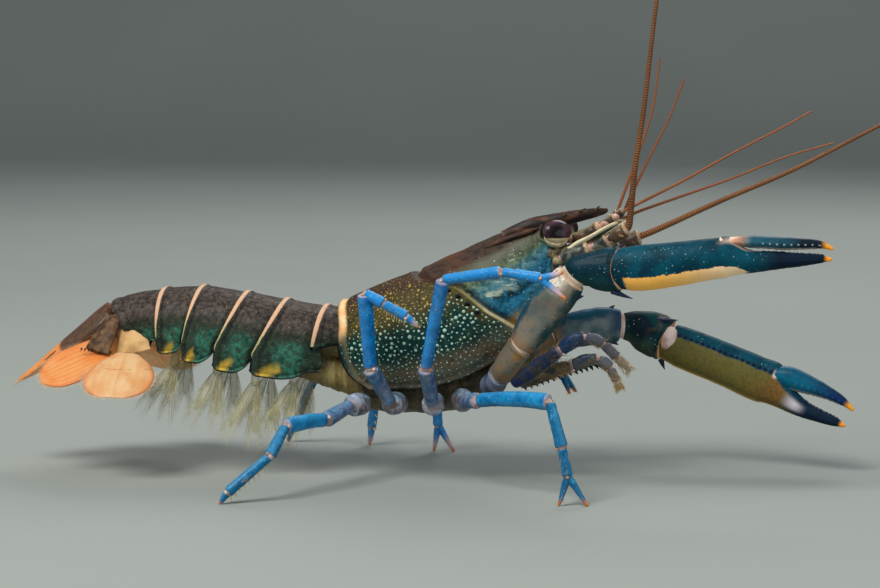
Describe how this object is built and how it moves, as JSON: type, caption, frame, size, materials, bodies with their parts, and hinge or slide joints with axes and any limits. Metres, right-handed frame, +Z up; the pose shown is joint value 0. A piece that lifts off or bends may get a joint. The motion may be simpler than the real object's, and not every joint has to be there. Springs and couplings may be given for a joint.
{
  "type": "freshwater crayfish",
  "caption": "Life-size banded freshwater crayfish standing on its walking legs with both claws held out in front.",
  "frame": {"origin": "on the floor, under the middle of the model's box", "axes": "+X towards the head, +Y to the animal's left, +Z up"},
  "size_m": [0.1939, 0.067, 0.1271],
  "materials": {
    "head_shell": "dark brown above, teal-grey cheeks with cream streaks",
    "thorax_shell": "dark brown above, green-teal flanks with pale dots",
    "underside": "tan joint skin",
    "tail_shell": "dark brown plates with cream bands, teal side plates",
    "fan": "brown at the root, orange and thin towards the rim",
    "swimmeret": "thin tan vanes with a pale fringe",
    "eye": "purple-black cornea",
    "stalk": "cream",
    "feeler": "brown-orange rings",
    "mouthpart": "navy and olive with pale bristles",
    "claw": "dark teal, navy fingers, orange tips",
    "leg": "blue with pale orange joints"
  },
  "bodies": {
    "root": {"head": "head_shell", "thorax": "thorax_shell", "underside": "underside", "abdomen_1": "tail_shell", "abdomen_2": "tail_shell", "abdomen_3": "tail_shell", "abdomen_4": "tail_shell", "abdomen_5": "tail_shell", "abdomen_6": "tail_shell", "telson": "fan", "uropod_inner_right": "fan", "uropod_inner_left": "fan", "uropod_outer_right": "fan", "uropod_outer_left": "fan", "swimmeret_2_right": "swimmeret", "swimmeret_2_left": "swimmeret", "swimmeret_3_right": "swimmeret", "swimmeret_3_left": "swimmeret", "swimmeret_4_right": "swimmeret", "swimmeret_4_left": "swimmeret", "swimmeret_5_right": "swimmeret", "swimmeret_5_left": "swimmeret", "leg_2_right_upper": "leg", "leg_2_right_lower": "leg", "leg_2_left_upper": "leg", "leg_2_left_lower": "leg", "leg_3_right_upper": "leg", "leg_3_right_lower": "leg", "leg_3_left_upper": "leg", "leg_3_left_lower": "leg", "leg_4_right_upper": "leg", "leg_4_right_lower": "leg", "leg_4_left_upper": "leg", "leg_4_left_lower": "leg", "leg_5_right_upper": "leg", "leg_5_right_lower": "leg", "leg_5_left_upper": "leg", "leg_5_left_lower": "leg", "cheliped_arm_right": "claw", "cheliped_arm_left": "claw", "cheliped_wrist_right": "claw", "cheliped_wrist_left": "claw", "cheliped_hand_right": "claw", "cheliped_hand_left": "claw", "cheliped_finger_right": "claw", "cheliped_finger_left": "claw", "maxilliped_right": "mouthpart", "maxilliped_left": "mouthpart", "antenna_base_right": "feeler", "antenna_base_left": "feeler", "antenna_right": "feeler", "antenna_left": "feeler", "antennule_right": "feeler", "antennule_left": "feeler", "antennule_inner_right": "feeler", "antennule_inner_left": "feeler", "eyestalk_right": "stalk", "eyestalk_left": "stalk", "eye_right": "eye", "eye_left": "eye"}
  },
  "joints": []
}
